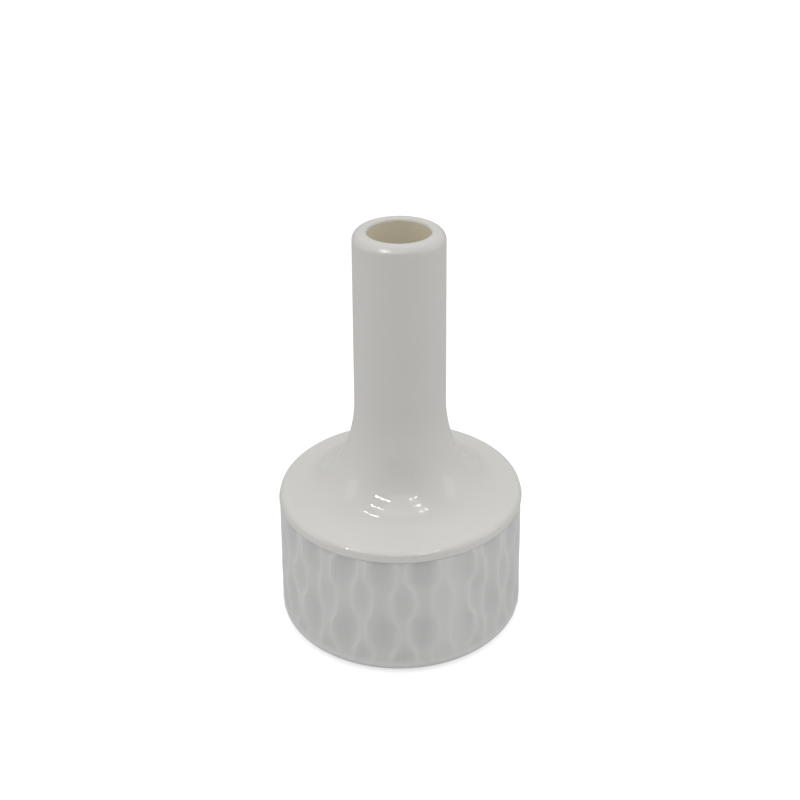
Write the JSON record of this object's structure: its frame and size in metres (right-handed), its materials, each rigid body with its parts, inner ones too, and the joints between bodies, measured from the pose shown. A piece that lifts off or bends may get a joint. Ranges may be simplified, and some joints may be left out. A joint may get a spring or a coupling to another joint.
{
  "type": "bud vase",
  "caption": "White porcelain bud vase: wide drum with a wavy relief wall, flared shoulder with a plain ring, slim straight neck with a rounded lip.",
  "frame": {"origin": "centre of the foot ring's lowest face, on the table", "axes": "+Z is the vase's axis of turning, from the foot to the lip; +Y points away from the viewer's side and +X to the viewer's right"},
  "size_m": [0.074, 0.074, 0.124],
  "materials": {
    "porcelain": "fired white porcelain under the glaze",
    "gloss_glaze": "clear gloss glaze over white porcelain, faintly uneven",
    "relief_glaze": "thin satin glaze that breaks over raised wavy ridges",
    "liner_glaze": "thick cream liner glaze, glossy",
    "biscuit": "bare fired clay, matt and slightly gritty"
  },
  "bodies": {
    "root": {"neck": "porcelain", "shoulder": "porcelain", "relief_wall": "relief_glaze", "floor": "biscuit", "foot_ring": "biscuit", "outer_glaze": "gloss_glaze", "inner_glaze": "liner_glaze"}
  },
  "joints": []
}
